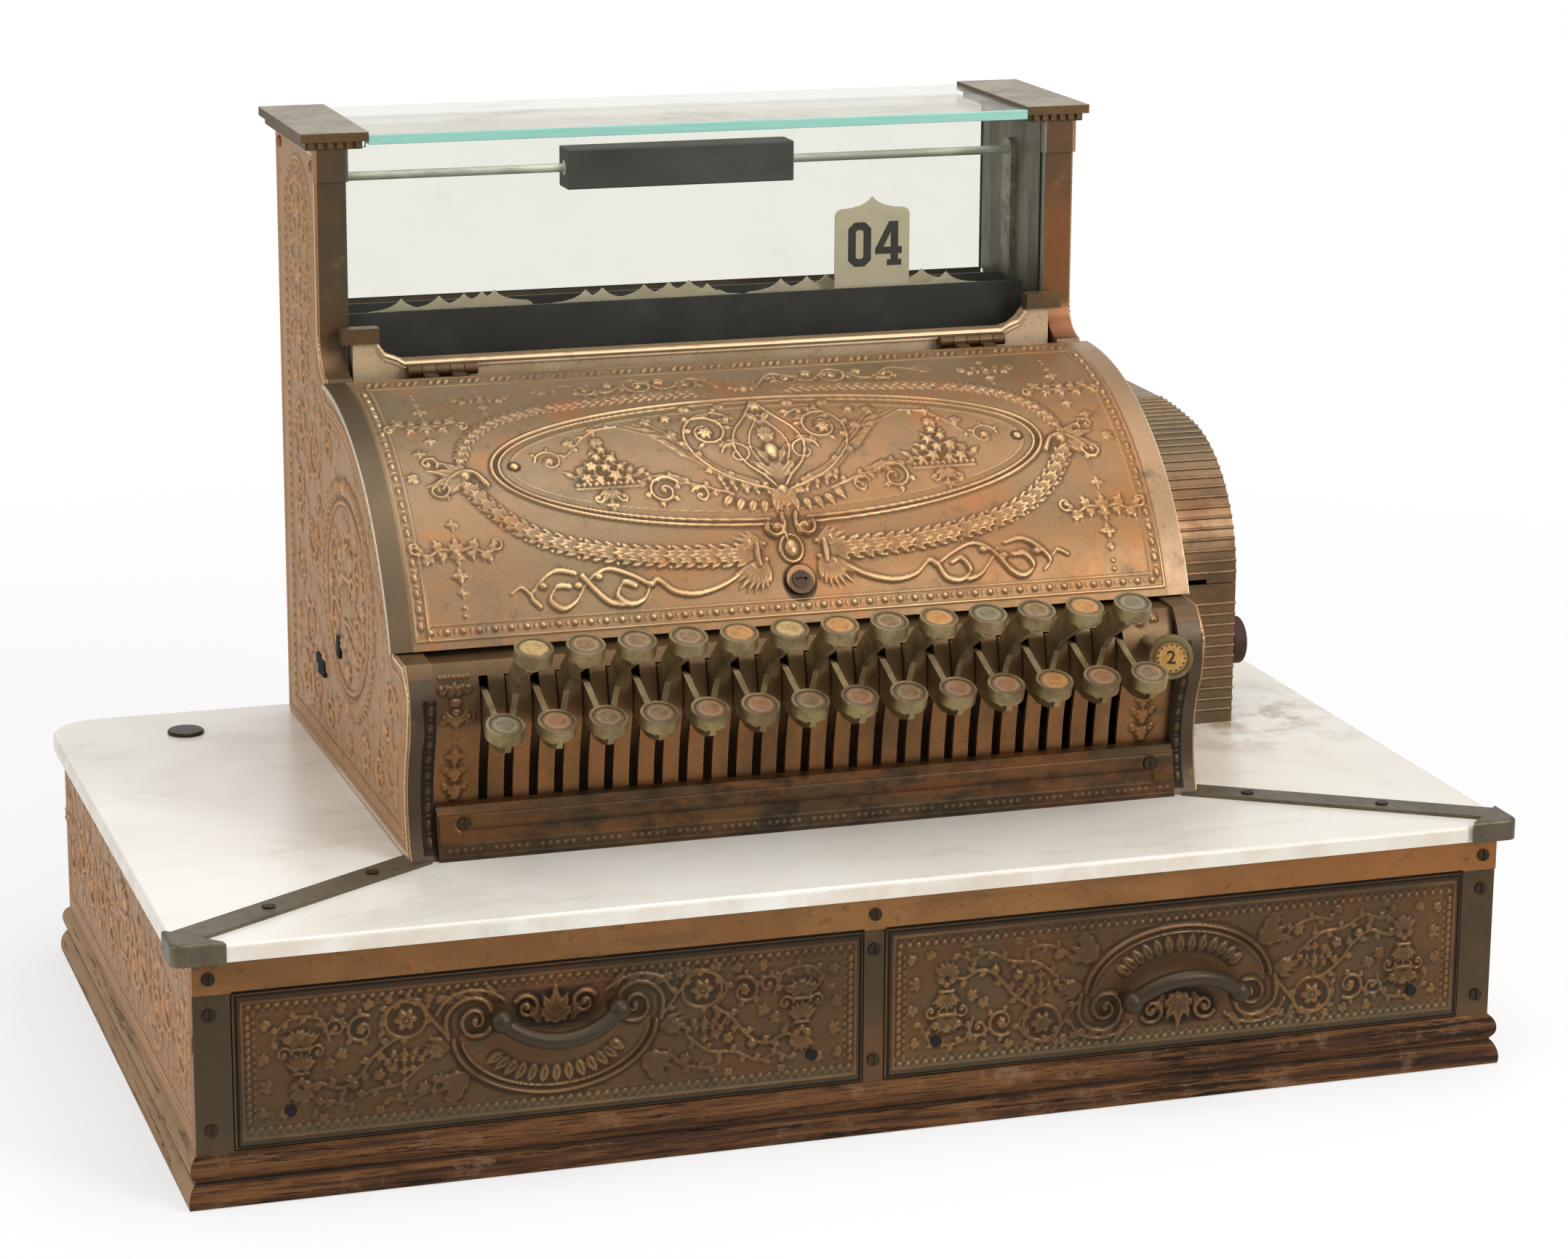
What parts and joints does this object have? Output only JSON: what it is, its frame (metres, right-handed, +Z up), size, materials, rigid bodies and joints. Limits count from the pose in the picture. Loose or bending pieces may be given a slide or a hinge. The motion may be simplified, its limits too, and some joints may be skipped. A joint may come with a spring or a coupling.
{
  "type": "ticket register",
  "caption": "Antique embossed brass till on a two-drawer cabinet: marble shelf, rows of lever keys, curved lid, glass indicator window and a ribbed ticket printer.",
  "frame": {"origin": "centre of the footprint on the counter, on the underside of the plinth's middle brace", "axes": "+X to the right of a person at the keys, +Y away from them towards the back, +Z up; the keys and drawers face -Y"},
  "size_m": [0.7362, 0.445, 0.4935],
  "materials": {
    "oak": "worn, open grain",
    "cabinet_wood": "plain",
    "embossed_brass": "aged, dark in the recesses",
    "rail_brass": "aged satin",
    "cast_brass": "aged satin",
    "ribbed_brass": "aged satin",
    "strip_metal": "dull grey-green",
    "key_metal": "dull green-brown",
    "back_metal": "dull brown",
    "marble": "honed",
    "glass": "clear",
    "black_paint": "worn black",
    "cream_paint": "satin cream",
    "screw_metal": "dark, worn",
    "dark_plastic": "dark red-brown",
    "paper": "matte",
    "works_iron": "oiled"
  },
  "bodies": {
    "frame": {"plinth_moulding": "oak", "carcass": "cabinet_wood", "base_panels": "embossed_brass", "front_frame": "rail_brass", "marble_slabs": "marble", "shelf_strips": "strip_metal", "fasteners": "screw_metal", "case_side_left": "embossed_brass", "case_side_right": "embossed_brass", "case_back": "back_metal", "key_plate": "rail_brass", "key_sill": "cast_brass", "window_sill": "cast_brass", "column_caps": "cast_brass", "glass_panes": "glass", "indicator_trough": "black_paint", "flags_lowered": "cream_paint", "lid_hinges": "strip_metal", "printer_case": "ribbed_brass", "works_frame": "works_iron"},
    "lid": {"front_lid": "embossed_brass"},
    "lock": {"lid_lock": "screw_metal"},
    "drawer_left": {"drawer_left_front": "embossed_brass", "drawer_left_box": "cabinet_wood"},
    "drawer_right": {"drawer_right_front": "embossed_brass", "drawer_right_box": "cabinet_wood"},
    "flag": {"flag_raised": "cream_paint"},
    "sign": {"sign_bar": "black_paint"},
    "cover": {"printer_cover": "ribbed_brass"},
    "knob": {"printer_knob": "dark_plastic"},
    "roll": {"ticket_roll": "paper"},
    "wheels": {"adding_wheels": "works_iron"},
    "key_lower_01": {"key_lower_01": "key_metal"},
    "key_lower_02": {"key_lower_02": "key_metal"},
    "key_lower_03": {"key_lower_03": "key_metal"},
    "key_lower_04": {"key_lower_04": "key_metal"},
    "key_lower_05": {"key_lower_05": "key_metal"},
    "key_lower_06": {"key_lower_06": "key_metal"},
    "key_lower_07": {"key_lower_07": "key_metal"},
    "key_lower_08": {"key_lower_08": "key_metal"},
    "key_lower_09": {"key_lower_09": "key_metal"},
    "key_lower_10": {"key_lower_10": "key_metal"},
    "key_lower_11": {"key_lower_11": "key_metal"},
    "key_lower_12": {"key_lower_12": "key_metal"},
    "key_lower_13": {"key_lower_13": "key_metal"},
    "key_lower_14": {"key_lower_14": "key_metal"},
    "key_upper_01": {"key_upper_01": "key_metal"},
    "key_upper_02": {"key_upper_02": "key_metal"},
    "key_upper_03": {"key_upper_03": "key_metal"},
    "key_upper_04": {"key_upper_04": "key_metal"},
    "key_upper_05": {"key_upper_05": "key_metal"},
    "key_upper_06": {"key_upper_06": "key_metal"},
    "key_upper_07": {"key_upper_07": "key_metal"},
    "key_upper_08": {"key_upper_08": "key_metal"},
    "key_upper_09": {"key_upper_09": "key_metal"},
    "key_upper_10": {"key_upper_10": "key_metal"},
    "key_upper_11": {"key_upper_11": "key_metal"},
    "key_upper_12": {"key_upper_12": "key_metal"},
    "key_upper_13": {"key_upper_13": "key_metal"},
    "side_key": {"key_side": "key_metal"}
  },
  "joints": [
    {"name": "lid_hinge", "type": "hinge", "parent": "frame", "child": "lid", "pos_m": [0, 0.0845, 0.361], "axis": [-1, 0, 0], "range_deg": [0, 80]},
    {"name": "lock_turn", "type": "hinge", "parent": "lid", "child": "lock", "pos_m": [0.002, -0.07165, 0.26622], "axis": [0, -0.8846, 0.4664], "range_deg": [0, 90]},
    {"name": "drawer_left_slide", "type": "slide", "parent": "frame", "child": "drawer_left", "axis": [0, -1, 0], "range_m": [0, 0.3]},
    {"name": "drawer_right_slide", "type": "slide", "parent": "frame", "child": "drawer_right", "axis": [0, -1, 0], "range_m": [0, 0.3]},
    {"name": "flag_drop", "type": "slide", "parent": "frame", "child": "flag", "axis": [0, 0, -1], "range_m": [0, 0.045]},
    {"name": "sign_turn", "type": "hinge", "parent": "frame", "child": "sign", "pos_m": [0, 0.154, 0.4605], "axis": [1, 0, 0], "range_deg": [0, 90]},
    {"name": "cover_hinge", "type": "hinge", "parent": "frame", "child": "cover", "pos_m": [0.2618, 0.2005, 0.2185], "axis": [-1, 0, 0], "range_deg": [0, 70]},
    {"name": "knob_turn", "type": "hinge", "parent": "frame", "child": "knob", "pos_m": [0.3, 0.039, 0.182], "axis": [1, 0, 0], "continuous": true},
    {"name": "roll_turn", "type": "hinge", "parent": "frame", "child": "roll", "pos_m": [0.2618, 0.129, 0.1795], "axis": [1, 0, 0], "continuous": true},
    {"name": "wheels_turn", "type": "hinge", "parent": "frame", "child": "wheels", "pos_m": [0, 0.029, 0.2875], "axis": [1, 0, 0], "continuous": true},
    {"name": "key_lower_01_press", "type": "hinge", "parent": "frame", "child": "key_lower_01", "pos_m": [0, 0.094, 0.19], "axis": [1, 0, 0], "range_deg": [0, 5], "stiffness_Nm_per_rad": 1.5, "springref_deg": -14.32},
    {"name": "key_lower_02_press", "type": "hinge", "parent": "frame", "child": "key_lower_02", "pos_m": [0, 0.094, 0.19], "axis": [1, 0, 0], "range_deg": [0, 5], "stiffness_Nm_per_rad": 1.5, "springref_deg": -14.32},
    {"name": "key_lower_03_press", "type": "hinge", "parent": "frame", "child": "key_lower_03", "pos_m": [0, 0.094, 0.19], "axis": [1, 0, 0], "range_deg": [0, 5], "stiffness_Nm_per_rad": 1.5, "springref_deg": -14.32},
    {"name": "key_lower_04_press", "type": "hinge", "parent": "frame", "child": "key_lower_04", "pos_m": [0, 0.094, 0.19], "axis": [1, 0, 0], "range_deg": [0, 5], "stiffness_Nm_per_rad": 1.5, "springref_deg": -14.32},
    {"name": "key_lower_05_press", "type": "hinge", "parent": "frame", "child": "key_lower_05", "pos_m": [0, 0.094, 0.19], "axis": [1, 0, 0], "range_deg": [0, 5], "stiffness_Nm_per_rad": 1.5, "springref_deg": -14.32},
    {"name": "key_lower_06_press", "type": "hinge", "parent": "frame", "child": "key_lower_06", "pos_m": [0, 0.094, 0.19], "axis": [1, 0, 0], "range_deg": [0, 5], "stiffness_Nm_per_rad": 1.5, "springref_deg": -14.32},
    {"name": "key_lower_07_press", "type": "hinge", "parent": "frame", "child": "key_lower_07", "pos_m": [0, 0.094, 0.19], "axis": [1, 0, 0], "range_deg": [0, 5], "stiffness_Nm_per_rad": 1.5, "springref_deg": -14.32},
    {"name": "key_lower_08_press", "type": "hinge", "parent": "frame", "child": "key_lower_08", "pos_m": [0, 0.094, 0.19], "axis": [1, 0, 0], "range_deg": [0, 5], "stiffness_Nm_per_rad": 1.5, "springref_deg": -14.32},
    {"name": "key_lower_09_press", "type": "hinge", "parent": "frame", "child": "key_lower_09", "pos_m": [0, 0.094, 0.19], "axis": [1, 0, 0], "range_deg": [0, 5], "stiffness_Nm_per_rad": 1.5, "springref_deg": -14.32},
    {"name": "key_lower_10_press", "type": "hinge", "parent": "frame", "child": "key_lower_10", "pos_m": [0, 0.094, 0.19], "axis": [1, 0, 0], "range_deg": [0, 5], "stiffness_Nm_per_rad": 1.5, "springref_deg": -14.32},
    {"name": "key_lower_11_press", "type": "hinge", "parent": "frame", "child": "key_lower_11", "pos_m": [0, 0.094, 0.19], "axis": [1, 0, 0], "range_deg": [0, 5], "stiffness_Nm_per_rad": 1.5, "springref_deg": -14.32},
    {"name": "key_lower_12_press", "type": "hinge", "parent": "frame", "child": "key_lower_12", "pos_m": [0, 0.094, 0.19], "axis": [1, 0, 0], "range_deg": [0, 5], "stiffness_Nm_per_rad": 1.5, "springref_deg": -14.32},
    {"name": "key_lower_13_press", "type": "hinge", "parent": "frame", "child": "key_lower_13", "pos_m": [0, 0.094, 0.19], "axis": [1, 0, 0], "range_deg": [0, 5], "stiffness_Nm_per_rad": 1.5, "springref_deg": -14.32},
    {"name": "key_lower_14_press", "type": "hinge", "parent": "frame", "child": "key_lower_14", "pos_m": [0, 0.094, 0.19], "axis": [1, 0, 0], "range_deg": [0, 5], "stiffness_Nm_per_rad": 1.5, "springref_deg": -14.32},
    {"name": "key_upper_01_press", "type": "hinge", "parent": "frame", "child": "key_upper_01", "pos_m": [0, 0.094, 0.19], "axis": [1, 0, 0], "range_deg": [0, 5], "stiffness_Nm_per_rad": 1.5, "springref_deg": -14.32},
    {"name": "key_upper_02_press", "type": "hinge", "parent": "frame", "child": "key_upper_02", "pos_m": [0, 0.094, 0.19], "axis": [1, 0, 0], "range_deg": [0, 5], "stiffness_Nm_per_rad": 1.5, "springref_deg": -14.32},
    {"name": "key_upper_03_press", "type": "hinge", "parent": "frame", "child": "key_upper_03", "pos_m": [0, 0.094, 0.19], "axis": [1, 0, 0], "range_deg": [0, 5], "stiffness_Nm_per_rad": 1.5, "springref_deg": -14.32},
    {"name": "key_upper_04_press", "type": "hinge", "parent": "frame", "child": "key_upper_04", "pos_m": [0, 0.094, 0.19], "axis": [1, 0, 0], "range_deg": [0, 5], "stiffness_Nm_per_rad": 1.5, "springref_deg": -14.32},
    {"name": "key_upper_05_press", "type": "hinge", "parent": "frame", "child": "key_upper_05", "pos_m": [0, 0.094, 0.19], "axis": [1, 0, 0], "range_deg": [0, 5], "stiffness_Nm_per_rad": 1.5, "springref_deg": -14.32},
    {"name": "key_upper_06_press", "type": "hinge", "parent": "frame", "child": "key_upper_06", "pos_m": [0, 0.094, 0.19], "axis": [1, 0, 0], "range_deg": [0, 5], "stiffness_Nm_per_rad": 1.5, "springref_deg": -14.32},
    {"name": "key_upper_07_press", "type": "hinge", "parent": "frame", "child": "key_upper_07", "pos_m": [0, 0.094, 0.19], "axis": [1, 0, 0], "range_deg": [0, 5], "stiffness_Nm_per_rad": 1.5, "springref_deg": -14.32},
    {"name": "key_upper_08_press", "type": "hinge", "parent": "frame", "child": "key_upper_08", "pos_m": [0, 0.094, 0.19], "axis": [1, 0, 0], "range_deg": [0, 5], "stiffness_Nm_per_rad": 1.5, "springref_deg": -14.32},
    {"name": "key_upper_09_press", "type": "hinge", "parent": "frame", "child": "key_upper_09", "pos_m": [0, 0.094, 0.19], "axis": [1, 0, 0], "range_deg": [0, 5], "stiffness_Nm_per_rad": 1.5, "springref_deg": -14.32},
    {"name": "key_upper_10_press", "type": "hinge", "parent": "frame", "child": "key_upper_10", "pos_m": [0, 0.094, 0.19], "axis": [1, 0, 0], "range_deg": [0, 5], "stiffness_Nm_per_rad": 1.5, "springref_deg": -14.32},
    {"name": "key_upper_11_press", "type": "hinge", "parent": "frame", "child": "key_upper_11", "pos_m": [0, 0.094, 0.19], "axis": [1, 0, 0], "range_deg": [0, 5], "stiffness_Nm_per_rad": 1.5, "springref_deg": -14.32},
    {"name": "key_upper_12_press", "type": "hinge", "parent": "frame", "child": "key_upper_12", "pos_m": [0, 0.094, 0.19], "axis": [1, 0, 0], "range_deg": [0, 5], "stiffness_Nm_per_rad": 1.5, "springref_deg": -14.32},
    {"name": "key_upper_13_press", "type": "hinge", "parent": "frame", "child": "key_upper_13", "pos_m": [0, 0.094, 0.19], "axis": [1, 0, 0], "range_deg": [0, 5], "stiffness_Nm_per_rad": 1.5, "springref_deg": -14.32},
    {"name": "side_key_press", "type": "slide", "parent": "frame", "child": "side_key", "axis": [0, 1, 0], "range_m": [0, 0.005], "stiffness_N_per_m": 150, "springref_m": -0.01}
  ]
}
